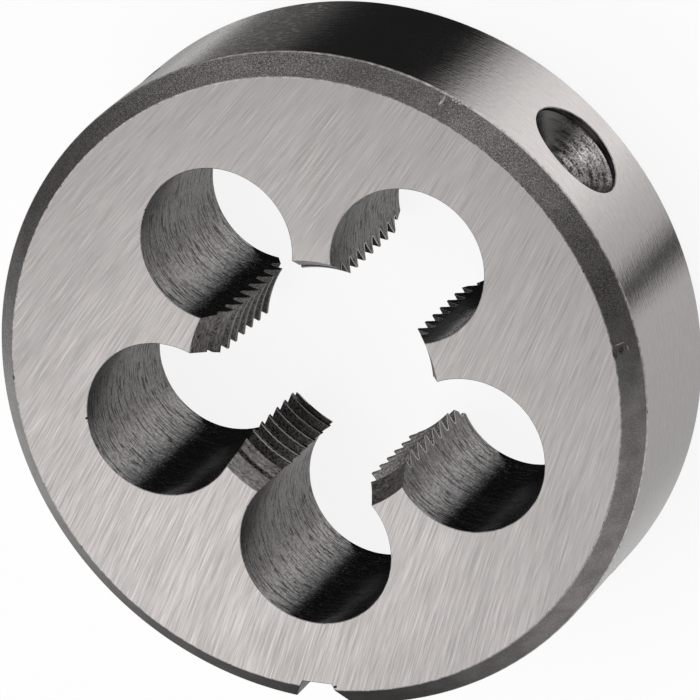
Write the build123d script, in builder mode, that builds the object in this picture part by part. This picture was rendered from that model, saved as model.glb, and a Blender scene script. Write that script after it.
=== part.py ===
from build123d import *
from math import ceil, cos, radians, sin, tan
import os

# Round threading die: one hardened steel disc that cuts an outside thread on a round rod.
# It lies on its back face. Z is the axis of the thread, and the front face, where the rod
# starts, is on top. The screw notch in the rim points to -Y. All sizes are in millimetres.

# disc
die_diameter = 55.0
die_thickness = 16.0
front_rim_chamfer = 1.65
back_rim_chamfer = 0.6

# V notch down the rim, with a flat floor
notch_angle = -90.0
notch_depth = 2.15
notch_floor_width = 2.4
notch_included_angle = 60.0

# clearance holes, which open into the bore and leave a toothed land between each two;
# one of them lines up with the notch
clearance_hole_count = 5
clearance_hole_diameter = 12.9
clearance_circle_diameter = 27.4

# cutting thread, right-hand
thread_minor_diameter = 17.9
thread_major_diameter = 19.9
thread_pitch = 1.75
thread_included_angle = 60.0
thread_root_flat = 0.22
groove_height_at_notch = 0.5
groove_bore_overcut = 0.2

# lead-in cones, which cut the first teeth down in steps
lead_in_half_angle = 26.0
front_mouth_diameter = 21.3
back_mouth_diameter = 20.1

# cone seats in the rim for the die holder's screws, on both sides of the notch
seat_angles_from_notch = (45.0, 135.0)
seat_mouth_diameter = 8.4
seat_straight_depth = 0.7
seat_included_angle = 90.0
seat_height = 7.4

# how far a cut runs past the surface that it opens
cut_past = 1.0

# worked out from the sizes above
die_radius = die_diameter / 2
minor_radius = thread_minor_diameter / 2
major_radius = thread_major_diameter / 2
front_mouth_radius = front_mouth_diameter / 2
back_mouth_radius = back_mouth_diameter / 2
lead_in_slope = tan(radians(lead_in_half_angle))
front_lead_in_depth = (front_mouth_radius - minor_radius) / lead_in_slope
back_lead_in_depth = (back_mouth_radius - minor_radius) / lead_in_slope
notch_plane = Plane.XY.rotated((0, 0, notch_angle))

# one turn of the thread groove, starting on +X
groove_depth = major_radius - minor_radius + groove_bore_overcut
groove_half_root = thread_root_flat / 2
groove_half_mouth = groove_half_root + groove_depth * tan(radians(thread_included_angle / 2))

with BuildPart() as groove_turn:
    with BuildLine() as groove_path:
        Helix(pitch=thread_pitch, height=thread_pitch, radius=major_radius)
    groove_section = Plane(
        origin=groove_path.line @ 0,
        x_dir=(1, 0, 0),
        z_dir=groove_path.line % 0,
    )
    with BuildSketch(groove_section):
        with BuildLine():
            Polyline(
                (0, groove_half_root),
                (-groove_depth, groove_half_mouth),
                (-groove_depth, -groove_half_mouth),
                (0, -groove_half_root),
                close=True,
            )
        make_face()
    sweep(path=groove_path.line, is_frenet=True)

# each turn starts and ends in the open clearance hole at the notch
lowest_groove_height = groove_height_at_notch - 2 * thread_pitch
groove_turn_count = ceil(die_thickness / thread_pitch) + 3
groove_turn_places = [
    Location((0, 0, lowest_groove_height + turn * thread_pitch), (0, 0, notch_angle))
    for turn in range(groove_turn_count)
]

with BuildPart() as die_body:
    # half section from the bore wall to the rim, turned about the thread axis
    with BuildSketch(Plane.XZ):
        with BuildLine():
            Polyline(
                (minor_radius, back_lead_in_depth),
                (back_mouth_radius, 0),
                (die_radius - back_rim_chamfer, 0),
                (die_radius, back_rim_chamfer),
                (die_radius, die_thickness - front_rim_chamfer),
                (die_radius - front_rim_chamfer, die_thickness),
                (front_mouth_radius, die_thickness),
                (minor_radius, die_thickness - front_lead_in_depth),
                close=True,
            )
        make_face()
    revolve(axis=Axis.Z)

    # clearance holes
    with BuildSketch(Plane.XY):
        with PolarLocations(
            clearance_circle_diameter / 2,
            clearance_hole_count,
            start_angle=notch_angle,
        ):
            Circle(clearance_hole_diameter / 2)
    extrude(amount=die_thickness, mode=Mode.SUBTRACT)

    # thread, turn by turn, across the lands that the clearance holes leave
    with Locations(groove_turn_places):
        add(groove_turn.part, mode=Mode.SUBTRACT)

    # screw notch
    notch_floor_radius = die_radius - notch_depth
    notch_half_floor = notch_floor_width / 2
    notch_flank_slope = tan(radians(notch_included_angle / 2))
    notch_half_mouth = notch_half_floor + (notch_depth + cut_past) * notch_flank_slope
    with BuildSketch(notch_plane):
        with BuildLine():
            Polyline(
                (notch_floor_radius, -notch_half_floor),
                (die_radius + cut_past, -notch_half_mouth),
                (die_radius + cut_past, notch_half_mouth),
                (notch_floor_radius, notch_half_floor),
                close=True,
            )
        make_face()
    extrude(amount=die_thickness, mode=Mode.SUBTRACT)

    # screw seats: a short straight mouth, then a cone
    seat_mouth_radius = seat_mouth_diameter / 2
    seat_floor_radius = die_radius - seat_straight_depth
    seat_cone_depth = seat_mouth_radius / tan(radians(seat_included_angle / 2))
    for seat_angle in seat_angles_from_notch:
        for side in (-1, 1):
            seat_turn = radians(notch_angle + side * seat_angle)
            outward = Vector(cos(seat_turn), sin(seat_turn), 0)
            seat_section = Plane(
                origin=(0, 0, seat_height),
                x_dir=outward,
                z_dir=outward.cross(Vector(0, 0, 1)),
            )
            with BuildSketch(seat_section):
                with BuildLine():
                    Polyline(
                        (seat_floor_radius - seat_cone_depth, 0),
                        (seat_floor_radius, seat_mouth_radius),
                        (die_radius + cut_past, seat_mouth_radius),
                        (die_radius + cut_past, 0),
                        close=True,
                    )
                make_face()
            revolve(axis=Axis((0, 0, seat_height), outward), mode=Mode.SUBTRACT)

die_body.part.label = "die_body"

os.makedirs("parts", exist_ok=True)
export_step(die_body.part, "parts/die_body.step")
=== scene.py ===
import math

import bmesh
import bpy
import numpy as np
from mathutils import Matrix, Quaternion, Vector


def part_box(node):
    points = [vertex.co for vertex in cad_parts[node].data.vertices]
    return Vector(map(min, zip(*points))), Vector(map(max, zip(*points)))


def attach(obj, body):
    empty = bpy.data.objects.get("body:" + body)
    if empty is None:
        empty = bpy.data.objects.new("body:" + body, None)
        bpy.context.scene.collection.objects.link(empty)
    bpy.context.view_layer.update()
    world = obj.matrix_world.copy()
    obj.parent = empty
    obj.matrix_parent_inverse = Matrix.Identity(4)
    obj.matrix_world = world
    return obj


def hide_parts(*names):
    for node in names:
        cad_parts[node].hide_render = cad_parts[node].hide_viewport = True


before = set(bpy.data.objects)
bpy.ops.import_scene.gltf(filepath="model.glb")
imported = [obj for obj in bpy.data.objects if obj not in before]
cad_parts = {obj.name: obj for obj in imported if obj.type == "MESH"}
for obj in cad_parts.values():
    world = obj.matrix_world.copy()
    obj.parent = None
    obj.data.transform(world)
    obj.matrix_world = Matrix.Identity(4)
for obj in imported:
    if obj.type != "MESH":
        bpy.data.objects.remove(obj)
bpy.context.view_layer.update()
print("frame loaded")

# The die lies on its back face, with the thread axis on Z and the screw notch towards -Y.
# Shapes are worked out in millimetres, and put in metres when the die is cut.
mm = 0.001
lowCorner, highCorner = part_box("die_body")
dieRadius = (highCorner.x - lowCorner.x) / 2 / mm
dieThickness = (highCorner.z - lowCorner.z) / mm
notchAngle = -90.0
cutPast = 1.0                     # how far a cutter reaches past the surface that it opens


def addNode(tree, kind, inputs=None, **settings):
    node = tree.nodes.new(kind)
    for key, value in settings.items():
        setattr(node, key, value)
    for key, value in (inputs or {}).items():
        if isinstance(value, bpy.types.NodeSocket):
            tree.links.new(value, node.inputs[key])
        else:
            node.inputs[key].default_value = value
    return node


def calc(tree, operation, *values):
    return addNode(tree, "ShaderNodeMath", dict(enumerate(values)), operation=operation).outputs[0]


def joinVector(tree, x=0.0, y=0.0, z=0.0):
    return addNode(tree, "ShaderNodeCombineXYZ", {"X": x, "Y": y, "Z": z}).outputs[0]


def splitVector(tree, vector):
    return addNode(tree, "ShaderNodeSeparateXYZ", {0: vector}).outputs


def scaled(tree, vector, scale):
    return addNode(tree, "ShaderNodeVectorMath", {0: vector, "Scale": scale}, operation="SCALE").outputs[0]


def polarPlace(tree, radius, angle, height=0.0):
    x = calc(tree, "MULTIPLY", radius, calc(tree, "COSINE", angle))
    y = calc(tree, "MULTIPLY", radius, calc(tree, "SINE", angle))
    return joinVector(tree, x, y, height)


def distanceOut(tree, x, y):
    squares = calc(tree, "ADD", calc(tree, "MULTIPLY", x, x), calc(tree, "MULTIPLY", y, y))
    return calc(tree, "SQRT", squares)


def direction(azimuth, elevation):
    turn, lift = math.radians(azimuth), math.radians(elevation)
    return Vector((math.cos(turn) * math.cos(lift), math.sin(turn) * math.cos(lift), math.sin(lift)))


def addObject(name, data):
    obj = bpy.data.objects.new(name, data)
    bpy.context.scene.collection.objects.link(obj)
    return obj


# Geometry Nodes trees: newTree opens one with named inputs, endTree closes it, runTree runs it on a mesh

def newTree(name, sockets):
    tree = bpy.data.node_groups.new(name, "GeometryNodeTree")
    tree.interface.new_socket("Geometry", in_out="INPUT", socket_type="NodeSocketGeometry")
    for label, kind in sockets.items():
        tree.interface.new_socket(label, in_out="INPUT", socket_type="NodeSocket" + kind)
    tree.interface.new_socket("Geometry", in_out="OUTPUT", socket_type="NodeSocketGeometry")
    return tree, tree.nodes.new("NodeGroupInput").outputs


def realized(tree, geometry):
    return addNode(tree, "GeometryNodeRealizeInstances", {"Geometry": geometry}).outputs[0]


def endTree(tree, geometry, material, faces=True):
    dressed = addNode(tree, "GeometryNodeSetMaterial", {
        "Geometry": realized(tree, geometry), "Selection": faces, "Material": material})
    tree.links.new(dressed.outputs[0], tree.nodes.new("NodeGroupOutput").inputs["Geometry"])


def runTree(obj, tree, values):
    modifier = obj.modifiers.new(tree.name, "NODES")
    modifier.node_group = tree
    for item in tree.interface.items_tree:
        if item.in_out == "INPUT" and item.name in values:
            modifier[item.identifier] = values[item.name]
    graph = bpy.context.evaluated_depsgraph_get()
    graph.update()
    result = bpy.data.meshes.new_from_object(obj.evaluated_get(graph))
    obj.modifiers.clear()
    raw = obj.data
    obj.data = result
    bpy.data.meshes.remove(raw)
    return obj


# Mesh from rings of points: each ring is joined to the next, and the ends close as a loop or with caps

def skinRings(name, rings, loop=False):
    rings = np.asarray(rings, float)
    count, around = rings.shape[:2]
    step = np.arange(around)
    nextStep = (step + 1) % around
    quads = []
    for band in range(count if loop else count - 1):
        here, there = band * around, (band + 1) % count * around
        quads += np.stack([here + step, here + nextStep, there + nextStep, there + step], 1).tolist()
    if not loop:
        quads += [step[::-1].tolist(), ((count - 1) * around + step).tolist()]
    mesh = bpy.data.meshes.new(name)
    mesh.from_pydata(rings.reshape(-1, 3).tolist(), [], quads)
    shape = bmesh.new()
    shape.from_mesh(mesh)
    bmesh.ops.recalc_face_normals(shape, faces=shape.faces)
    shape.to_mesh(mesh)
    shape.free()
    return addObject(name, mesh)


def lathe(name, outline, segments, loop=False):
    turn = np.linspace(0, 2 * math.pi, segments, endpoint=False)
    rings = [np.stack([r * np.cos(turn), r * np.sin(turn), np.full(segments, z)], 1) for r, z in outline]
    return skinRings(name, rings, loop)


def setBandMaterials(obj, bandNames, segments):
    for material in materials.values():
        obj.data.materials.append(material)
    index = np.repeat([finishNumber[name] for name in bandNames], segments)
    obj.data.polygons.foreach_set("material_index", index.astype(np.int32))


# Steel finishes. Every one reads the die's own coordinates in millimetres, or the place on a cut wall.

warmGrey = (1.0, 0.945, 0.926)    # tint of the bare steel


def steelColour(level):
    return (*(level * part for part in warmGrey), 1.0)


def newMaterial(name, constants):
    material = bpy.data.materials.new(name)
    material.use_nodes = True
    tree = material.node_tree
    for key, value in constants.items():
        tree.nodes["Principled BSDF"].inputs[key].default_value = value
    return material, tree


def newSteel(name):
    return newMaterial(name, {"Metallic": 1.0})


def objectPoint(tree):
    return scaled(tree, tree.nodes.new("ShaderNodeTexCoord").outputs["Object"], 1 / mm)


def wallPoint(tree):
    return addNode(tree, "ShaderNodeAttribute", attribute_name="wallPlace").outputs["Vector"]


def noiseAt(tree, place, fineness, detail=2.0, roughness=0.5):
    # fineness: about how many marks there are to a millimetre, along each axis of the place
    dense = addNode(tree, "ShaderNodeVectorMath", {0: place, 1: fineness}, operation="MULTIPLY").outputs[0]
    return addNode(tree, "ShaderNodeTexNoise", {
        "Vector": dense, "Scale": 1.0, "Detail": detail, "Roughness": roughness}).outputs["Fac"]


def mean(tree, first, second):
    return calc(tree, "MULTIPLY_ADD", first, 0.5, calc(tree, "MULTIPLY", second, 0.5))


def remap(tree, value, fromLow, fromHigh, toLow=0.0, toHigh=1.0, smooth=False):
    return addNode(tree, "ShaderNodeMapRange", {
        "Value": value, "From Min": fromLow, "From Max": fromHigh, "To Min": toLow, "To Max": toHigh},
        interpolation_type="SMOOTHSTEP" if smooth else "LINEAR").outputs[0]


def blend(tree, share, first, second):
    # first and second are sockets, colours, or plain levels, which get the steel's own tint
    node = addNode(tree, "ShaderNodeMix", data_type="RGBA")
    sockets = {socket.identifier: socket for socket in node.inputs}
    tree.links.new(share, sockets["Factor_Float"])
    for key, value in (("A_Color", first), ("B_Color", second)):
        if isinstance(value, bpy.types.NodeSocket):
            tree.links.new(value, sockets[key])
        else:
            sockets[key].default_value = value if isinstance(value, tuple) else steelColour(value)
    return next(socket for socket in node.outputs if socket.identifier == "Result_Color")


def finishSteel(tree, colour, roughness, height, reach):
    bump = addNode(tree, "ShaderNodeBump", {"Height": height, "Distance": reach * mm}).outputs[0]
    shader = tree.nodes["Principled BSDF"]
    tree.links.new(colour, shader.inputs["Base Color"])
    tree.links.new(bump, shader.inputs["Normal"])
    if isinstance(roughness, float):
        shader.inputs["Roughness"].default_value = roughness
    else:
        tree.links.new(roughness, shader.inputs["Roughness"])


faceSet = {
    "fanCentre": (57.2, 108.3),   # the wheel's marks run towards this far point, mm
    "bend": -0.0022,              # and curve by this much
    "tone": 0.545, "contrast": 0.11,
    "scratchDark": 0.45, "scratchLight": 0.68,
    "crossing": 0.16,             # how far the stray marks turn from the others
    # fineness of each kind of mark: across the marks, along them and down
    "fine": (12.0, 0.26, 1.0), "long": (6.0, 0.08, 1.0), "broad": (0.25, 0.05, 1.0),
    "scratch": (8.0, 0.22, 2.0), "stray": (7.0, 0.16, 2.0),
    "roughness": (0.46, 0.34),    # of dark and light marks
    "bump": 0.0012,
}


def groundFaceSteel(s):
    material, tree = newSteel("groundFaceSteel")
    x, y, z = splitVector(tree, objectPoint(tree))
    dx = calc(tree, "SUBTRACT", x, s["fanCentre"][0])
    dy = calc(tree, "SUBTRACT", y, s["fanCentre"][1])
    along = distanceOut(tree, dx, dy)
    far = math.hypot(*s["fanCentre"])
    beyond = calc(tree, "SUBTRACT", along, far)
    curve = calc(tree, "MULTIPLY", calc(tree, "MULTIPLY", beyond, beyond), s["bend"])
    turn = calc(tree, "ARCTAN2", calc(tree, "MULTIPLY", dy, -1.0), calc(tree, "MULTIPLY", dx, -1.0))
    across = calc(tree, "MULTIPLY_ADD", turn, far, curve)
    marks = joinVector(tree, across, along, z)
    crossed = joinVector(tree, calc(tree, "MULTIPLY_ADD", along, s["crossing"], across), along, z)
    fine = noiseAt(tree, marks, s["fine"], detail=3.0, roughness=0.65)
    long = noiseAt(tree, marks, s["long"])
    broad = noiseAt(tree, marks, s["broad"])
    scratch = noiseAt(tree, marks, s["scratch"], detail=0.0)
    stray = noiseAt(tree, crossed, s["stray"], detail=0.0)
    coarser = calc(tree, "MULTIPLY_ADD", long, 0.28, calc(tree, "MULTIPLY", broad, 0.10))
    share = remap(tree, calc(tree, "MULTIPLY_ADD", fine, 0.62, coarser), 0.38, 0.62)
    dark = calc(tree, "MAXIMUM", remap(tree, scratch, 0.28, 0.18), remap(tree, stray, 0.22, 0.15))
    light = calc(tree, "MAXIMUM", remap(tree, scratch, 0.73, 0.84), remap(tree, stray, 0.77, 0.85))
    colour = blend(tree, share, s["tone"] - s["contrast"] / 2, s["tone"] + s["contrast"] / 2)
    colour = blend(tree, dark, colour, s["scratchDark"])
    colour = blend(tree, light, colour, s["scratchLight"])
    finishSteel(tree, colour, remap(tree, share, 0, 1, *s["roughness"]), fine, s["bump"])
    return material


rimSet = {
    "dark": 0.53, "light": 0.66,
    "roughness": (0.08, 0.16),
    # fineness: round the rim and up it
    "lines": (0.5, 4.0, 1.0), "fleck": (1.8, 3.2, 1.0), "cloud": (0.25, 0.4, 1.0), "pits": (1.5, 4.0, 1.0),
    "pitLight": 0.85, "pitRoughness": 0.45,
    # where the pitted patch fades: x at its right and left ends, and y
    "pitsRight": (-1.5, -4.0), "pitsLeft": (-11.0, -8.5), "pitsFront": (0.0, 1.0),
    "bump": 0.012,
}


def groundRimSteel(s):
    material, tree = newSteel("groundRimSteel")
    x, y, z = splitVector(tree, objectPoint(tree))
    around = calc(tree, "MULTIPLY", calc(tree, "ARCTAN2", x, y), dieRadius)   # seam at the notch
    marks = joinVector(tree, around, z)
    lines = noiseAt(tree, marks, s["lines"], detail=3.0)
    fleck = noiseAt(tree, marks, s["fleck"], detail=3.0, roughness=0.6)
    cloud = noiseAt(tree, marks, s["cloud"])
    colour = blend(tree, remap(tree, mean(tree, lines, fleck), 0.3, 0.7), s["dark"], s["light"])
    roughness = remap(tree, mean(tree, cloud, fleck), 0.3, 0.7, *s["roughness"])
    zone = calc(tree, "MULTIPLY", remap(tree, x, *s["pitsRight"]), remap(tree, x, *s["pitsLeft"]))
    zone = calc(tree, "MULTIPLY", zone, remap(tree, y, *s["pitsFront"]))
    pits = calc(tree, "MULTIPLY", remap(tree, noiseAt(tree, marks, s["pits"]), 0.52, 0.60), zone)
    colour = blend(tree, pits, colour, s["pitLight"])
    roughness = blend(tree, pits, roughness, s["pitRoughness"])
    finishSteel(tree, colour, roughness, calc(tree, "ADD", lines, fleck), s["bump"])
    return material


chamferSet = {
    "dark": 0.20, "light": 0.30,
    "pit": 0.11, "fleck": 0.6,
    "roughness": 0.32,
    "grain": (9.0, 9.0, 9.0), "cloud": (0.5, 0.5, 0.5),
    # how strong the grain is on the notch's side and the far side, and what that is times at -X and its end
    "smoothGrain": 0.25, "coarseGrain": 0.95,
    "leftGrain": 1.8, "leftEndGrain": 0.5,
    "bump": 0.02,
}


def blastedSteel(s):
    material, tree = newSteel("blastedSteel")
    point = objectPoint(tree)
    x, y = splitVector(tree, point)[:2]
    farSide = calc(tree, "MULTIPLY_ADD", x, -0.25, y)
    coarse = remap(tree, farSide, 1.0, 4.0, s["smoothGrain"], s["coarseGrain"], smooth=True)
    coarse = calc(tree, "MULTIPLY", coarse, remap(tree, x, 3.0, -3.0, 1.0, s["leftGrain"]))
    coarse = calc(tree, "MULTIPLY", coarse, remap(tree, x, -24.0, -12.0, s["leftEndGrain"], 1.0))
    grain = noiseAt(tree, point, s["grain"], detail=3.0, roughness=0.7)
    cloud = noiseAt(tree, point, s["cloud"], detail=3.0)
    share = remap(tree, calc(tree, "MULTIPLY_ADD", cloud, 0.6, calc(tree, "MULTIPLY", grain, 0.4)), 0.4, 0.6)
    pit = calc(tree, "MULTIPLY", remap(tree, grain, 0.46, 0.34, 0.0, 0.8), coarse)
    spark = calc(tree, "MULTIPLY", remap(tree, grain, 0.50, 0.68), coarse)
    colour = blend(tree, share, s["dark"], s["light"])
    colour = blend(tree, pit, colour, s["pit"])
    colour = blend(tree, spark, colour, s["fleck"])
    finishSteel(tree, colour, s["roughness"], calc(tree, "MULTIPLY", grain, coarse), s["bump"])
    return material


# sizes of the cutting thread, which the finish of the drilled walls reads as well
threadSet = {
    "pitch": 1.75,
    "majorRadius": 9.95,
    "rootFlat": 0.22,
    "flankAngle": 30.0,
    "crestBreak": 0.075, "breakAngle": 43.0,    # width, and how far it tilts from the crest
    "boreOvercut": 0.2,
    "heightAtNotch": 0.5,         # middle of the groove
    "stepsPerTurn": 180,
    "tear": 0.012,                # how far the cut wanders
}

wallSet = {
    "score": 0.015, "dark": 0.18, "light": 0.34,
    "polished": 0.09, "dull": 0.34,    # roughness on each wall's -Y side, and elsewhere
    "paintedShade": 0.6, "paintedShadeEnd": 0.2,           # painted shade: share of its level that is left on that side, and at its +X end
    # fineness: round the wall on X and Y, and down it
    "mottle": (28.0, 28.0, 3.6), "streaks": (5.0, 5.0, 6.5),
    "dashes": (5.5, 5.5, 6.0), "scores": (2.0, 2.0, 7.5),
    "toothEdge": 0.13,                 # width of the painted highlight line along each tooth, mm
    "toothLight": 1.0, "toothRoughness": 0.45,
    "bump": 0.024,
}


def paintedToothHighlight(tree, width, thread):
    # painted highlight: 1 where a drilled wall meets a tooth's flank, from the distance to the nearest
    # groove's middle
    x, y, z = splitVector(tree, objectPoint(tree))
    reach = distanceOut(tree, x, y)
    slope = math.tan(math.radians(thread["flankAngle"]))
    climb = calc(tree, "MULTIPLY_ADD", calc(tree, "ARCTAN2", y, x), -thread["pitch"] / (2 * math.pi), z)
    climb = calc(tree, "SUBTRACT", climb, thread["heightAtNotch"] - thread["pitch"] * notchAngle / 360)
    away = calc(tree, "PINGPONG", climb, thread["pitch"] / 2)
    flank = calc(tree, "MULTIPLY_ADD", reach, slope, away)
    closest = thread["rootFlat"] / 2 + thread["majorRadius"] * slope
    line = remap(tree, flank, closest + width, closest + width * 0.6)
    onTooth = remap(tree, reach, thread["majorRadius"] + 0.1, thread["majorRadius"])
    return calc(tree, "MULTIPLY", line, onTooth)


def drilledSteel(s, thread):
    material, tree = newSteel("drilledSteel")
    place = wallPoint(tree)
    side, low = splitVector(tree, place)[:2]
    mottle = noiseAt(tree, place, s["mottle"], roughness=0.7)
    streaks = noiseAt(tree, place, s["streaks"], detail=3.0, roughness=0.6)
    dashes = noiseAt(tree, place, s["dashes"], detail=1.0)
    scores = noiseAt(tree, place, s["scores"], detail=0.0)
    grain = mean(tree, mottle, streaks)
    cut = calc(tree, "MAXIMUM", remap(tree, dashes, 0.39, 0.33), remap(tree, scores, 0.31, 0.26))
    ragged = calc(tree, "ADD", mottle, low)
    # painted shade: each wall is darker on its -Y side, with a ragged border, and darker still at that side's
    # +X end
    paintedShade = remap(tree, ragged, -0.20, -0.40)
    paintedShadeEnd = calc(tree, "MULTIPLY", remap(tree, side, 0.05, 0.3), remap(tree, low, -0.72, -0.88))
    paintedHighlight = paintedToothHighlight(tree, s["toothEdge"], thread)
    colour = blend(tree, remap(tree, grain, 0.42, 0.58), s["dark"], s["light"])
    colour = blend(tree, calc(tree, "MULTIPLY", cut, 0.85), colour, s["score"])
    colour = blend(tree, paintedShade, colour, calc(tree, "MULTIPLY", colour, s["paintedShade"]))
    colour = blend(tree, paintedShadeEnd, colour, calc(tree, "MULTIPLY", colour, s["paintedShadeEnd"]))
    # painted highlight: a bright, rougher line along each tooth's edge
    colour = blend(tree, paintedHighlight, colour, s["toothLight"])
    roughness = remap(tree, ragged, -0.45, -0.20, s["polished"], s["dull"], smooth=True)
    roughness = blend(tree, paintedHighlight, roughness, s["toothRoughness"])
    finishSteel(tree, colour, roughness, calc(tree, "SUBTRACT", grain, cut), s["bump"])
    return material


seatFinishSet = {
    "paintedSideShade": 0.22,                # level of the painted shade on one side of each seat
    "dark": 0.06, "light": 0.95,
    "arcs": (1.6, 1.6, 5.0), "grain": (6.0, 6.0, 6.0),
    "roughness": 0.2,
    "bump": 0.03,
}


def sunkSeatSteel(s):
    material, tree = newSteel("sunkSeatSteel")
    place = wallPoint(tree)
    aside = splitVector(tree, place)[0]
    arcs = noiseAt(tree, place, s["arcs"], detail=3.0, roughness=0.7)
    grain = noiseAt(tree, objectPoint(tree), s["grain"], detail=3.0, roughness=0.75)
    marks = mean(tree, arcs, grain)
    bare = blend(tree, remap(tree, marks, 0.42, 0.60), s["dark"], s["light"])
    # painted shade: each seat is darker on one side, with a ragged border
    paintedSideShade = remap(tree, calc(tree, "MULTIPLY_ADD", grain, 1.4, aside), 1.05, 1.35)
    finishSteel(tree, blend(tree, paintedSideShade, bare, s["paintedSideShade"]), s["roughness"], marks, s["bump"])
    return material


def plainCutSteel(name, dark, light, fineness, bump, roughness=0.4, reader=objectPoint):
    material, tree = newSteel(name)
    marks = noiseAt(tree, reader(tree), fineness, detail=3.0, roughness=0.6)
    colour = blend(tree, remap(tree, marks, 0.35, 0.65), dark, light)
    dullness = remap(tree, marks, 0.3, 0.7, roughness - 0.1, roughness + 0.1)
    finishSteel(tree, colour, dullness, marks, bump)
    return material


materials = {
    "groundFace": groundFaceSteel(faceSet),
    "wornEdge": plainCutSteel("wornEdgeSteel", 0.45, 0.92, (2.0, 2.0, 2.0), 0.01, 0.4),
    "blastedChamfer": blastedSteel(chamferSet),
    "groundRim": groundRimSteel(rimSet),
    "leadInCone": plainCutSteel("leadInSteel", 0.3, 0.85, (2.5, 2.5, 6.0), 0.03, 0.35),
    "threadCrest": plainCutSteel("crestSteel", 0.10, 0.32, (3.0, 3.0, 6.0), 0.02, 0.3),
    "drilledWall": drilledSteel(wallSet, threadSet),
    "threadFlank": plainCutSteel("threadSteel", 0.12, 0.45, (5.5, 5.5, 8.0), 0.02, 0.28),
    "screwNotch": plainCutSteel("notchSteel", 0.12, 0.26, (3.0, 3.0, 0.6), 0.01),
    "screwSeat": sunkSeatSteel(seatFinishSet),
    # seat mouths: dark steel as painted shade on the straight mouth wall
    "seatMouth": plainCutSteel("mouthSteel", 0.06, 0.30, (2.0, 2.0, 4.0), 0.02, 0.35, reader=wallPoint),
    # dents: the chips' dark finish is painted shade inside the dents, and the nicks' bright one is fresh
    # metal with a painted highlight
    "paintedShadeChip": plainCutSteel("paintedShadeChipSteel", 0.08, 0.30, (4.0, 4.0, 4.0), 0.01, 0.45),
    "freshNickPaintedHighlight": plainCutSteel("freshNickHighlightSteel", 0.75, 1.0, (4.0, 4.0, 4.0), 0.01, 0.55),
}
finishNumber = {name: number for number, name in enumerate(materials)}
print("steel finishes ready")


# Turned blank

blankSet = {
    "segments": 480,
    "minorRadius": 8.95,          # across the tooth crests
    "frontMouthRadius": 10.65,
    "backMouthRadius": 10.05,
    "leadInHalfAngle": 26.0,
    "frontChamfer": 1.65,
    "backChamfer": 0.6,
    "faceEdgeBreak": 0.07,        # ground face to chamfer
    "rimEdgeBreak": 0.12,         # chamfer to ground rim
    "mouthEdgeBreak": 0.03,
}


def turnBlank(s):
    radius, height = dieRadius, dieThickness
    slope = math.tan(math.radians(s["leadInHalfAngle"]))
    frontDepth = (s["frontMouthRadius"] - s["minorRadius"]) / slope
    backDepth = (s["backMouthRadius"] - s["minorRadius"]) / slope
    # corner, width of its edge break, finish of the band that follows it
    corners = [
        ((s["minorRadius"], backDepth), 0, "leadInCone"),
        ((s["backMouthRadius"], 0), s["mouthEdgeBreak"], "groundFace"),
        ((radius - s["backChamfer"], 0), s["faceEdgeBreak"], "blastedChamfer"),
        ((radius, s["backChamfer"]), s["rimEdgeBreak"], "groundRim"),
        ((radius, height - s["frontChamfer"]), s["rimEdgeBreak"], "blastedChamfer"),
        ((radius - s["frontChamfer"], height), s["faceEdgeBreak"], "groundFace"),
        ((s["frontMouthRadius"], height), s["mouthEdgeBreak"], "leadInCone"),
        ((s["minorRadius"], height - frontDepth), 0, "threadCrest"),
    ]
    outline, bands = [], []
    for number, (corner, width, finish) in enumerate(corners):
        here = Vector(corner)
        if width:
            before = Vector(corners[number - 1][0])
            after = Vector(corners[(number + 1) % len(corners)][0])
            start = here + (before - here).normalized() * width
            end = here + (after - here).normalized() * width
            outline += [start, (start + here * 2 + end) / 4, end]
            bands += ["wornEdge", "wornEdge"]
        else:
            outline.append(here)
        bands.append(finish)
    blank = lathe("threadingDie", outline, s["segments"], loop=True)
    setBandMaterials(blank, bands, s["segments"])
    return blank


die = turnBlank(blankSet)
print("blank turned")


# Clearance holes and screw seats: one cutter each, set round the thread axis

def aroundAxisTree():
    tree, given = newTree("aroundAxis", {
        "Count": "Int", "Circle Radius": "Float", "Start Angle": "Float",
        "Chatter": "Float", "Chatter Scale": "Float", "Material": "Material"})
    index = tree.nodes.new("GeometryNodeInputIndex").outputs[0]
    step = calc(tree, "DIVIDE", 2 * math.pi, given["Count"])
    angle = calc(tree, "MULTIPLY_ADD", index, step, given["Start Angle"])
    place = polarPlace(tree, given["Circle Radius"], angle)
    points = addNode(tree, "GeometryNodePoints", {"Count": given["Count"], "Position": place}).outputs[0]
    turned = addNode(tree, "FunctionNodeEulerToRotation", {"Euler": joinVector(tree, z=angle)}).outputs[0]
    copies = addNode(tree, "GeometryNodeInstanceOnPoints",
                     {"Points": points, "Instance": given["Geometry"], "Rotation": turned}).outputs[0]
    # chatter: the wall moves in and out along its normal, differently at each copy
    noise = addNode(tree, "ShaderNodeTexNoise", {"Scale": given["Chatter Scale"], "Detail": 2.0}).outputs[0]
    push = calc(tree, "MULTIPLY", calc(tree, "SUBTRACT", noise, 0.5), given["Chatter"])
    normal = tree.nodes.new("GeometryNodeInputNormal").outputs[0]
    moved = addNode(tree, "GeometryNodeSetPosition", {
        "Geometry": realized(tree, copies), "Offset": scaled(tree, normal, push)}).outputs[0]
    endTree(tree, moved, given["Material"])
    return tree


aroundAxis = aroundAxisTree()

holeSet = {
    "seed": 11,
    "count": 5,
    "radius": 6.45,
    "circleRadius": 13.7,
    "segments": 132,
    "edgeBreak": 0.05,
    "drillRings": 32,
    "ringDepth": 0.018,
    "chatter": 0.03, "chatterScale": 0.8,
}


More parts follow.
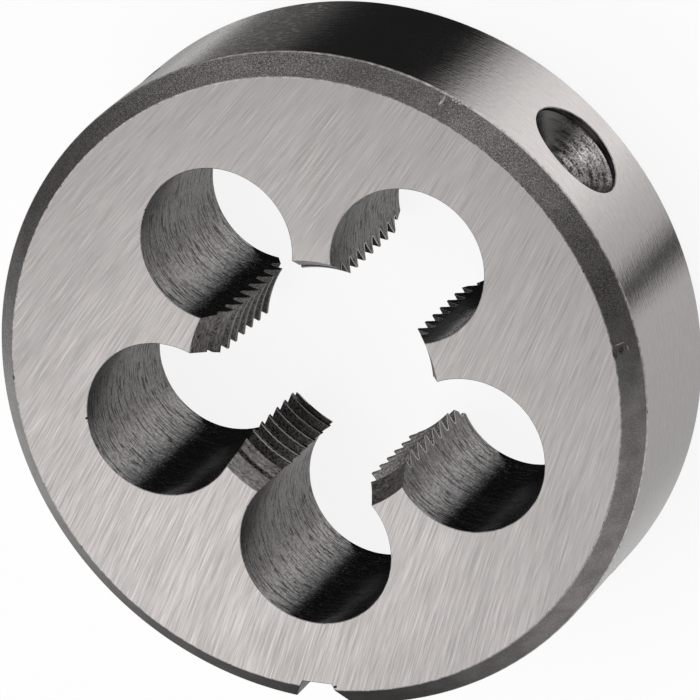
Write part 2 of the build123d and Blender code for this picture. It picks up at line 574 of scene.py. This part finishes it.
def cutHoles(s):
    rng = np.random.default_rng(s["seed"])
    wide = s["radius"] + s["edgeBreak"]
    outline = [(wide + cutPast, -cutPast), (wide, 0)]
    for z in np.linspace(s["edgeBreak"], dieThickness - s["edgeBreak"], s["drillRings"]):
        outline.append((s["radius"] + rng.uniform(-1, 1) * s["ringDepth"] / 2, z))
    outline += [(wide, dieThickness), (wide + cutPast, dieThickness + cutPast)]
    drill = lathe("clearanceDrill", outline, s["segments"])
    return runTree(drill, aroundAxis, {
        "Count": s["count"], "Circle Radius": s["circleRadius"], "Start Angle": math.radians(notchAngle),
        "Chatter": s["chatter"], "Chatter Scale": s["chatterScale"], "Material": materials["drilledWall"]})


seatSet = {
    "seed": 5,
    "count": 4,
    "fromNotch": 45.0,
    "height": 7.4,
    "mouthRadius": 4.2,
    "straightDepth": 0.7,
    "tipRadius": 0.35,
    "toolRings": 22,
    "ringDepth": 0.055,
    "chatter": 0.012, "chatterScale": 1.5,
    "edgeBreak": 0.07,
    "segments": 96,
}


def cutSeats(s):
    rng = np.random.default_rng(s["seed"])
    turn = np.linspace(0, 2 * math.pi, s["segments"], endpoint=False)
    side, up = np.cos(turn), np.sin(turn)

    def ring(radius, out):
        # out: distance from the thread axis, one for the whole ring or one for each of its points
        return np.stack([out + 0 * side, radius * side, s["height"] + radius * up], 1)

    def rimAt(radius):
        return np.sqrt(dieRadius ** 2 - (radius * side) ** 2)

    floor = dieRadius - s["straightDepth"]
    apex = floor - s["mouthRadius"]
    rings = [ring(s["tipRadius"], apex + s["tipRadius"])]
    for share in np.linspace(0.1, 1, s["toolRings"]):
        radius = s["mouthRadius"] * share
        rings.append(ring(radius, apex + radius + rng.uniform(-1, 1) * s["ringDepth"] / 2 * (share < 1)))
    mouth, wide = s["mouthRadius"], s["mouthRadius"] + s["edgeBreak"]
    rings += [ring(mouth, rimAt(mouth) - s["edgeBreak"]), ring(wide, rimAt(wide)),
              ring(wide + cutPast, dieRadius + cutPast)]
    tool = skinRings("seatTool", rings)
    return runTree(tool, aroundAxis, {
        "Count": s["count"], "Circle Radius": 0.0,
        "Start Angle": math.radians(notchAngle + s["fromNotch"]),
        "Chatter": s["chatter"], "Chatter Scale": s["chatterScale"], "Material": materials["screwSeat"]})


# Cutting thread: a straight tooth bar, wound round the axis on a right-hand helix

def windThreadTree():
    tree, given = newTree("windThread", {
        "Pitch": "Float", "Start Height": "Float", "Start Angle": "Float", "Tear": "Float",
        "Material": "Material"})
    straight = tree.nodes.new("GeometryNodeInputPosition").outputs[0]
    radius, turns, rise = splitVector(tree, straight)
    angle = calc(tree, "MULTIPLY_ADD", turns, 2 * math.pi, given["Start Angle"])
    start = calc(tree, "ADD", rise, given["Start Height"])
    wound = polarPlace(tree, radius, angle, calc(tree, "MULTIPLY_ADD", turns, given["Pitch"], start))
    noise = addNode(tree, "ShaderNodeTexNoise", {"Vector": wound, "Scale": 1.1, "Detail": 3.0})
    wander = addNode(tree, "ShaderNodeVectorMath",
                     {0: noise.outputs["Color"], 1: (-0.5, -0.5, -0.5)}, operation="ADD").outputs[0]
    moved = addNode(tree, "GeometryNodeSetPosition", {
        "Geometry": given["Geometry"], "Position": wound, "Offset": scaled(tree, wander, given["Tear"])})
    endTree(tree, moved.outputs[0], given["Material"])
    return tree


def cutThread(s):
    crest, slope = blankSet["minorRadius"], math.radians(s["flankAngle"])
    halfRoot = s["rootFlat"] / 2
    halfMouth = halfRoot + (s["majorRadius"] - crest) * math.tan(slope)
    inward = s["crestBreak"] * math.sin(math.radians(s["breakAngle"]))
    beside = s["crestBreak"] * math.cos(math.radians(s["breakAngle"]))
    wide = halfMouth - inward * math.tan(slope) + beside
    half = [(s["majorRadius"], halfRoot), (crest + inward, wide - beside),
            (crest, wide), (crest - s["boreOvercut"], wide)]
    section = [(x, -z) for x, z in half[::-1]] + half
    turnsBelow = 2
    turnCount = math.ceil(dieThickness / s["pitch"]) + 2 * turnsBelow
    along = np.linspace(0, turnCount, turnCount * s["stepsPerTurn"] + 1)
    bar = skinRings("threadChaser", [[(x, turn, z) for x, z in section] for turn in along])
    return runTree(bar, windThreadTree(), {
        "Pitch": s["pitch"], "Start Height": s["heightAtNotch"] - turnsBelow * s["pitch"],
        "Start Angle": math.radians(notchAngle), "Tear": s["tear"], "Material": materials["threadFlank"]})


# Screw notch

notchSet = {
    "depth": 2.15,
    "floorWidth": 2.4,
    "halfAngle": 30.0,
    "edgeBreak": 0.06,
    "edgeFlare": 1.4,             # sideways for each mm outward, past the broken edge
    "rows": 24,
}


def cutNotch(s):
    slope = math.tan(math.radians(s["halfAngle"]))

    def section(z, grow):
        floor, outer = dieRadius - s["depth"] - grow, dieRadius + cutPast
        halfFloor = s["floorWidth"] / 2 + grow
        rim = dieRadius - s["edgeBreak"]
        halfRim = halfFloor + (rim - floor) * slope
        halfOuter = halfRim + (outer - rim) * s["edgeFlare"]
        half = [(halfFloor, floor), (halfRim, rim), (halfOuter, outer)]
        return [(x, -y, z) for x, y in half] + [(-x, -y, z) for x, y in half[::-1]]

    wide, height = s["edgeBreak"], dieThickness
    rings = [section(-cutPast, wide + cutPast), section(0, wide)]
    rings += [section(z, 0) for z in np.linspace(wide, height - wide, s["rows"])]
    rings += [section(height, wide), section(height + cutPast, wide + cutPast)]
    cutter = skinRings("notchCutter", rings)
    cutter.data.materials.append(materials["screwNotch"])
    return cutter


# Dents: the small chips that follow the worn edges, and the larger nicks one by one

dentSet = {
    "seed": 8,
    "spread": 0.6,               # how much the chips differ in size
    "roundness": 1,              # subdivisions of the ball that strikes a dent
    "chipSize": (0.07, 0.045, 0.04),
    "freshHighlightChips": (96, 106),     # the chips between these headings are bright: fresh metal with a painted highlight
    "clearOfMouth": 0.4,         # no chip stands closer than this to the bore's mouth
    # radius, height, first and last angle, number of chips
    "edges": [
        (25.85, 16.0, -180, 90, 46), (25.85, 16.0, 96, 106, 8), (25.85, 16.0, 108, 178, 14),
        (27.5, 14.35, -178, 17, 22), (27.5, 14.35, 19, 29, 15), (27.5, 14.35, 31, 175, 30),
    ],
    "chipsRoundHole": 24,
    # angle, radius, height, half length, half width, half depth, tilt, and whether it is bright (fresh metal
    # and painted highlight) instead of dark (painted shade)
    "nicks": [
        (12.9, 25.95, 15.9, 0.5, 0.25, 0.13, 40, False),
        (13.15, 26.36, 15.5, 0.42, 0.29, 0.1, 45, False),
        (14.2, 26.36, 15.46, 0.05, 0.55, 0.06, 45, True),
        (13.1, 26.76, 15.07, 0.28, 0.06, 0.06, 45, True),
        (-175.3, 25.95, 15.95, 0.28, 0.22, 0.14, 45, False),
        (-169.0, 26.0, 15.95, 0.12, 0.16, 0.1, 45, False),
        (-158.0, 26.1, 15.85, 0.2, 0.14, 0.1, 45, False),
        (66.6, 27.05, 14.78, 0.15, 0.6, 0.12, 45, True),
        (67.5, 27.45, 14.38, 0.18, 0.14, 0.12, 45, True),
        (65.1, 27.42, 14.43, 0.12, 0.22, 0.12, 45, True),
        (64.5, 27.42, 14.43, 0.12, 0.22, 0.12, 45, True),
        (63.9, 27.42, 14.43, 0.12, 0.22, 0.12, 45, True),
        (61.9, 27.48, 14.35, 0.22, 0.14, 0.12, 45, True),
    ],
    # x, y, angle of the edge's outward side, half sizes: in the rims of holes and notch on the front face
    "faceNicks": [
        (-19.44, -4.88, 186, 0.13, 0.26, 0.2), (1.55, -25.5, -70, 0.2, 0.12, 0.2),
        (-2.25, -26.0, 200, 0.14, 0.16, 0.16),
    ],
}


def holeMiddles():
    for hole in range(holeSet["count"]):
        turn = math.radians(notchAngle + hole * 360 / holeSet["count"])
        yield holeSet["circleRadius"] * math.cos(turn), holeSet["circleRadius"] * math.sin(turn)


def placeDents(s):
    # one vertex for each dent, with its half sizes and its turn; chips stay clear of every other dent
    rng = np.random.default_rng(s["seed"])
    spots, sizes, turns, freshHighlightFlags = [], [], [], []

    def addDent(spot, size, tilt, heading, bright):
        spots.append(np.array(spot))
        sizes.append(np.array(size))
        turns.append((math.radians(tilt), 0.0, math.radians(heading) + math.pi / 2))
        freshHighlightFlags.append(bright)

    def onCircle(radius, height, heading, middle=(0.0, 0.0)):
        turn = math.radians(heading)
        return np.array([middle[0] + radius * math.cos(turn), middle[1] + radius * math.sin(turn), height])

    def addChip(spot, tilt, heading):
        size = np.array(s["chipSize"]) * rng.uniform(1 - s["spread"], 1 + s["spread"])
        crowded = any(np.linalg.norm(spot - other) < max(size) + max(reach)
                      for other, reach in zip(spots, sizes))
        inMouth = math.hypot(spot[0], spot[1]) < blankSet["frontMouthRadius"] + s["clearOfMouth"]
        if not crowded and not inMouth:
            addDent(spot, size, tilt, heading, s["freshHighlightChips"][0] < heading < s["freshHighlightChips"][1])

    for heading, radius, height, *size, tilt, bright in s["nicks"]:
        addDent(onCircle(radius, height, heading), size, tilt, heading, bright)
    for x, y, heading, *size in s["faceNicks"]:
        addDent((x, y, dieThickness), size, 0, heading, False)
    for radius, height, first, last, count in s["edges"]:
        for number in range(count):
            heading = first + (last - first) / count * (number + 0.5 + rng.uniform(-0.3, 0.3))
            addChip(onCircle(radius, height, heading), rng.uniform(20, 70), heading)
    for middle in holeMiddles():
        for number in range(s["chipsRoundHole"]):
            heading = (number + 0.5 + rng.uniform(-0.3, 0.3)) * 360 / s["chipsRoundHole"]
            addChip(onCircle(holeSet["radius"], dieThickness, heading, middle), -45, heading)

    mesh = bpy.data.meshes.new("dents")
    mesh.from_pydata(spots, [], [])
    for name, values in (("dentSize", sizes), ("dentTurn", turns)):
        mesh.attributes.new(name, "FLOAT_VECTOR", "POINT").data.foreach_set("vector", np.ravel(values))
    mesh.attributes.new("dentFresh", "BOOLEAN", "POINT").data.foreach_set("value", freshHighlightFlags)
    return addObject("dents", mesh)


def dentTree():
    tree, given = newTree("strikeDents", {"Roundness": "Int", "Painted Shade Finish": "Material", "Fresh Highlight Finish": "Material"})

    def stored(name, kind):
        return addNode(tree, "GeometryNodeInputNamedAttribute", {"Name": name}, data_type=kind).outputs[0]

    ball = addNode(tree, "GeometryNodeMeshIcoSphere", {"Radius": 1.0, "Subdivisions": given["Roundness"]})
    # the ball's faces get the painted shade finish first, and the bright dents get the one with a painted
    # highlight
    dull = addNode(tree, "GeometryNodeSetMaterial",
                   {"Geometry": ball.outputs["Mesh"], "Material": given["Painted Shade Finish"]}).outputs[0]
    turned = addNode(tree, "FunctionNodeEulerToRotation", {"Euler": stored("dentTurn", "FLOAT_VECTOR")})
    copies = addNode(tree, "GeometryNodeInstanceOnPoints", {
        "Points": given["Geometry"], "Instance": dull, "Rotation": turned.outputs[0],
        "Scale": stored("dentSize", "FLOAT_VECTOR")}).outputs[0]
    endTree(tree, copies, given["Fresh Highlight Finish"], faces=stored("dentFresh", "BOOLEAN"))
    return tree


def cutDents(s):
    return runTree(placeDents(s), dentTree(), {
        "Roundness": s["roundness"], "Painted Shade Finish": materials["paintedShadeChip"], "Fresh Highlight Finish": materials["freshNickPaintedHighlight"]})


# The cuts, one after another

def cutTree(names):
    tree, given = newTree("cutDie", {name: "Object" for name in names})
    shape = given["Geometry"]
    for name in names:
        cutter = addNode(tree, "GeometryNodeObjectInfo", {"Object": given[name]}).outputs["Geometry"]
        shape = addNode(tree, "GeometryNodeMeshBoolean", {"Mesh 1": shape, "Mesh 2": cutter},
                        operation="DIFFERENCE", solver="EXACT").outputs[0]
    # every cut keeps the finish that its cutter brings, so no material is set here
    tree.links.new(realized(tree, shape), tree.nodes.new("NodeGroupOutput").inputs["Geometry"])
    return tree


cutters = {
    "Holes": cutHoles(holeSet),
    "Thread": cutThread(threadSet),
    "Notch": cutNotch(notchSet),
    "Seats": cutSeats(seatSet),
    "Dents": cutDents(dentSet),
}
print("cutters made")
runTree(die, cutTree(cutters), cutters)
for cutter in cutters.values():
    bpy.data.objects.remove(cutter)
print("die cut")


# Worn edges, and the finish of each cut face

edgeSet = {
    "mergeGap": 0.0002,           # points closer than this become one, mm
    "sharpAngle": 8.0,            # edges that turn more than this stay crisp
    # a tilt is the share of a face's normal that points up or down, or along a seat's axis
    "wallTilt": 0.3,              # a wall's face that is tilted more is a broken edge
    "threadTilt": (0.3, 0.78),    # and so is a thread's face that is tilted between these
    "mouthTilt": 0.3,             # a seat's face that is tilted less is its straight mouth
    "mouthMargin": 0.02,
    "copyGap": 40.0,              # keeps the marks of each hole or seat apart from the next one's, mm
}


def finishMesh(obj, s):
    shape = bmesh.new()
    shape.from_mesh(obj.data)
    bmesh.ops.scale(shape, vec=(mm, mm, mm), verts=shape.verts)
    bmesh.ops.remove_doubles(shape, verts=shape.verts, dist=s["mergeGap"] * mm)
    bmesh.ops.dissolve_degenerate(shape, edges=shape.edges, dist=s["mergeGap"] * mm)
    shape.to_mesh(obj.data)
    shape.free()
    obj.data.shade_smooth()
    obj.data.set_sharp_from_angle(angle=math.radians(s["sharpAngle"]))


def readMesh(source, name, width=1, kind=float):
    values = np.empty(len(source) * width, kind)
    source.foreach_get(name, values)
    return values.reshape(-1, width) if width > 1 else values


def copyAngle(points, count, start):
    # which of the copies round the thread axis a point belongs to, and that copy's angle
    turn = np.degrees(np.arctan2(points[:, 1], points[:, 0])) - start
    copy = np.round(turn / (360 / count)) % count
    return copy, np.radians(start + copy * 360 / count)


def dressEdges(obj, s):
    # the cutters leave their own finish on the edge breaks and seat mouths: those faces get theirs here
    mesh = obj.data
    normal = readMesh(mesh.polygons, "normal", 3)
    centre = readMesh(mesh.polygons, "center", 3)
    finish = readMesh(mesh.polygons, "material_index", kind=np.int32)
    wall, seat, thread = (finish == finishNumber[name]
                          for name in ("drilledWall", "screwSeat", "threadFlank"))
    tilt = np.abs(normal[:, 2])
    outward = copyAngle(centre, seatSet["count"], notchAngle + seatSet["fromNotch"])[1]
    facing = normal[:, 0] * np.cos(outward) + normal[:, 1] * np.sin(outward)
    depth = centre[:, 0] * np.cos(outward) + centre[:, 1] * np.sin(outward)
    nearRim = depth > (dieRadius - seatSet["straightDepth"] - s["mouthMargin"]) * mm
    finish[wall & (tilt > s["wallTilt"])] = finishNumber["wornEdge"]
    finish[thread & (tilt > s["threadTilt"][0]) & (tilt < s["threadTilt"][1])] = finishNumber["wornEdge"]
    finish[seat & nearRim] = finishNumber["wornEdge"]
    # the straight mouth gets the dark finish, which is painted shade
    finish[seat & nearRim & (np.abs(facing) < s["mouthTilt"])] = finishNumber["seatMouth"]
    mesh.polygons.foreach_set("material_index", finish)


def markWalls(obj, s):
    # place on each drilled wall, seat and seat mouth: the direction out from its own axis, then the depth, mm
    mesh = obj.data
    corners = readMesh(mesh.loops, "vertex_index", kind=np.int32)
    points = readMesh(mesh.vertices, "co", 3)[corners] / mm
    finish = readMesh(mesh.polygons, "material_index", kind=np.int32)
    finish = np.repeat(finish, readMesh(mesh.polygons, "loop_total", kind=np.int32))
    firstSeat = notchAngle + seatSet["fromNotch"]
    place = points.copy()
    for name, count, start in (("drilledWall", holeSet["count"], notchAngle),
                               ("screwSeat", seatSet["count"], firstSeat),
                               ("seatMouth", seatSet["count"], firstSeat)):
        part = finish == finishNumber[name]
        copy, angle = copyAngle(points[part], count, start)
        x, y, z = points[part].T
        if name == "drilledWall":
            middle = np.stack([np.cos(angle), np.sin(angle)], 1) * holeSet["circleRadius"]
            wall, depth = np.stack([x, y], 1) - middle, z
        else:
            aside = y * np.cos(angle) - x * np.sin(angle)
            wall, depth = np.stack([aside, z - seatSet["height"]], 1), x * np.cos(angle) + y * np.sin(angle)
        wall /= np.linalg.norm(wall, axis=1, keepdims=True) + 1e-9
        place[part] = np.column_stack([wall, depth + copy * s["copyGap"]])
    mark = mesh.attributes.new("wallPlace", "FLOAT_VECTOR", "CORNER")
    mark.data.foreach_set("vector", place.astype(np.float32).ravel())


finishMesh(die, edgeSet)
dressEdges(die, edgeSet)
markWalls(die, edgeSet)
print("edges dressed")


# Camera: a long lens, well above the front face

cameraSet = {
    "azimuth": 46.11676,          # of its place, from +X
    "elevation": 61.92652,
    "distance": 655.2162,
    "aim": (0.2026, 0.4585, 8.0),
    "roll": -133.17269,
    "lens": 414.585, "sensor": 36.0,
    "clip": (0.01, 10.0),         # nearest and farthest that it sees, m
}


def placeCamera(s):
    place = direction(s["azimuth"], s["elevation"]) * s["distance"]
    level = (place - Vector(s["aim"])).to_track_quat("Z", "Y")
    camera = addObject("camera", bpy.data.cameras.new("camera"))
    camera.data.lens = s["lens"]
    camera.data.sensor_width = s["sensor"]
    camera.data.clip_start, camera.data.clip_end = s["clip"]
    camera.rotation_mode = "QUATERNION"
    camera.rotation_quaternion = level @ Quaternion((0, 0, 1), math.radians(s["roll"]))
    camera.location = place * mm
    bpy.context.scene.camera = camera


placeCamera(cameraSet)


# Studio: what the steel mirrors, as levels of light by direction round the die. White is 1.

studioSet = {
    # azimuth, level: mirrored by the rim and the hole walls
    "below": [(11, 0.60), (24, 0.80), (36, 1.08), (58, 1.08), (70, 0.95), (82, 0.62), (90, 0.20),
              (97, 0.017), (146, 0.017), (150, 0.09), (171, 0.10), (185, 0.22), (190, 0.9), (193, 0.6),
              (199, 0.34), (235, 0.50), (245, 0.58), (262, 0.52), (280, 0.46), (335, 0.55), (343, 0.58)],
    # mirrored by the chamfer
    "level": [(12, 0.04), (28, 0.20), (44, 0.75), (60, 1.05), (75, 0.60), (92, 0.30), (118, 0.50),
              (141, 0.33), (158, 0.16), (180, 0.14), (197, 0.38), (208, 0.9), (217, 0.72), (230, 0.25),
              (253, 0.08), (262, 0.10), (280, 0.45), (300, 0.75), (330, 0.62), (348, 0.40)],
    # mirrored by the front face, and by the flanks that face the camera
    "above": [(10, 0.14), (46, 0.016), (80, 0.032), (120, 0.50), (150, 0.95), (172, 0.85), (200, 0.6),
              (226, 0.50), (280, 0.40), (310, 0.12), (340, 0.14)],
    "floorGlow": 0.88, "floorShade": 0.25, "floorReach": 1.5,
}

# Black cards that only the steel mirrors: a slice of each hole between two angles and a patch under the
# bore, both just under the die, and a far card that draws the dark bar across the rim
cardSet = {
    "sliceRadius": 6.7, "sliceAngles": (238, 328), "sliceCorners": 12, "depth": 0.1,
    "borePatch": [(-6.5, -8.5), (-0.5, -7.5), (1.5, 1.5), (-3.5, 2.0)],
    "glow": 0.016,
    "barAngle": 20.9, "barHeight": 7.5,         # middle of the bar on the rim
    "barAzimuth": 355.7, "barDrop": 62.5,       # way from there to its card
    "barDistance": 54.0, "barHalfWidth": 7.0, "barHalfLength": 10.0,
}


def ringOfLight(tree, turn, stops):
    node = tree.nodes.new("ShaderNodeValToRGB")
    first, last = stops[0], stops[-1]
    gap = first[0] + 360 - last[0]
    seam = last[1] + (first[1] - last[1]) * (360 - last[0]) / gap    # level at azimuth 0
    ramp = node.color_ramp
    ramp.elements[0].position, ramp.elements[1].position = 0, 1
    for element in (ramp.elements[0], ramp.elements[1]):
        element.color = (seam, seam, seam, 1)
    for azimuth, level in stops:
        ramp.elements.new(azimuth / 360).color = (level, level, level, 1)
    tree.links.new(turn, node.inputs[0])
    return node.outputs[0]


def lightStudio(s):
    world = bpy.data.worlds.new("studio")
    bpy.context.scene.world = world
    world.use_nodes = True
    tree = world.node_tree
    place = tree.nodes.new("ShaderNodeTexCoord").outputs["Generated"]
    x, y, z = splitVector(tree, place)[:3]
    turn = calc(tree, "FRACT", calc(tree, "MULTIPLY_ADD", calc(tree, "ARCTAN2", y, x), 0.5 / math.pi, 1.0))
    below, level, above = (ringOfLight(tree, turn, s[height]) for height in ("below", "level", "above"))
    ring = blend(tree, remap(tree, z, -0.75, -0.55, smooth=True), below, level)
    dome = blend(tree, remap(tree, z, 0.475, 0.545, smooth=True), ring, above)
    rays = tree.nodes.new("ShaderNodeLightPath").outputs
    seen = blend(tree, rays["Is Camera Ray"], dome, (1.0, 1.0, 1.0, 1.0))
    tree.links.new(seen, tree.nodes["Background"].inputs["Color"])


def layFloor(s):
    reach, grey = s["floorReach"], s["floorShade"]
    mesh = bpy.data.meshes.new("floor")
    corners = [(-reach, -reach, 0), (reach, -reach, 0), (reach, reach, 0), (-reach, reach, 0)]
    mesh.from_pydata(corners, [], [(0, 1, 2, 3)])
    floor = addObject("floor", mesh)
    material, tree = newMaterial("whiteFloor", {
        "Base Color": (grey, grey, grey, 1), "Roughness": 1.0, "Specular IOR Level": 0.0,
        "Emission Color": (1, 1, 1, 1)})
    rays = tree.nodes.new("ShaderNodeLightPath").outputs
    glow = calc(tree, "MULTIPLY", rays["Is Camera Ray"], s["floorGlow"])
    tree.links.new(glow, tree.nodes["Principled BSDF"].inputs["Emission Strength"])
    mesh.materials.append(material)
    floor.visible_glossy = False


def layCards(s):
    points, faces, shades = [], [], []

    def addCard(corners, shade=()):
        faces.append(list(range(len(points), len(points) + len(corners))))
        points.extend(corners)
        shades.extend(shade or [1.0] * len(corners))

    reach, under = s["sliceRadius"], -s["depth"]
    turns = np.radians(np.linspace(*s["sliceAngles"], s["sliceCorners"]))
    for x, y in holeMiddles():
        addCard([(x + reach * math.cos(turn), y + reach * math.sin(turn), under) for turn in turns])
    addCard([(x, y, under) for x, y in s["borePatch"]])

    # the bar's card has two halves, black where they meet and clear at their outer sides
    away = direction(s["barAzimuth"], -s["barDrop"])
    aside = direction(s["barAzimuth"] + 90, 0) * s["barHalfWidth"]
    along = away.cross(aside).normalized() * s["barHalfLength"]
    onRim = direction(s["barAngle"], 0) * dieRadius + Vector((0, 0, s["barHeight"]))
    middle = onRim + away * s["barDistance"]
    for side in (-aside, aside):
        addCard([middle + along, middle + along + side, middle - along + side, middle - along],
                (1.0, 0.0, 0.0, 1.0))

    mesh = bpy.data.meshes.new("cards")
    mesh.from_pydata([[part * mm for part in point] for point in points], [], faces)
    mesh.attributes.new("shade", "FLOAT", "POINT").data.foreach_set("value", shades)
    cards = addObject("cards", mesh)
    material, tree = newMaterial("blackCard", {
        "Base Color": (0.0, 0.0, 0.0, 1), "Specular IOR Level": 0.0,
        "Emission Color": (1, 1, 1, 1), "Emission Strength": s["glow"]})
    shade = addNode(tree, "ShaderNodeAttribute", attribute_name="shade").outputs["Fac"]
    tree.links.new(shade, tree.nodes["Principled BSDF"].inputs["Alpha"])
    mesh.materials.append(material)
    cards.visible_camera = False
    cards.visible_diffuse = False
    cards.visible_shadow = False


softboxSet = {
    "overFace": (-9.0, -17.0),    # the spot that it brightens most
    "azimuth": 226.0, "elevation": 62.0, "distance": 130.0,
    "side": 60.0,
    "watts": 0.015,
}


def hangSoftbox(s):
    away = direction(s["azimuth"], s["elevation"])
    lamp = addObject("softbox", bpy.data.lights.new("softbox", "AREA"))
    lamp.data.energy = s["watts"]
    lamp.data.size = s["side"] * mm
    lamp.location = (Vector((*s["overFace"], dieThickness)) + away * s["distance"]) * mm
    lamp.rotation_mode = "QUATERNION"
    lamp.rotation_quaternion = away.to_track_quat("Z", "Y")


lightStudio(studioSet)
hangSoftbox(softboxSet)
layFloor(studioSet)
layCards(cardSet)
bpy.context.scene.view_settings.view_transform = "Standard"
print("studio lit")

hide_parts("die_body")
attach(die, "root")
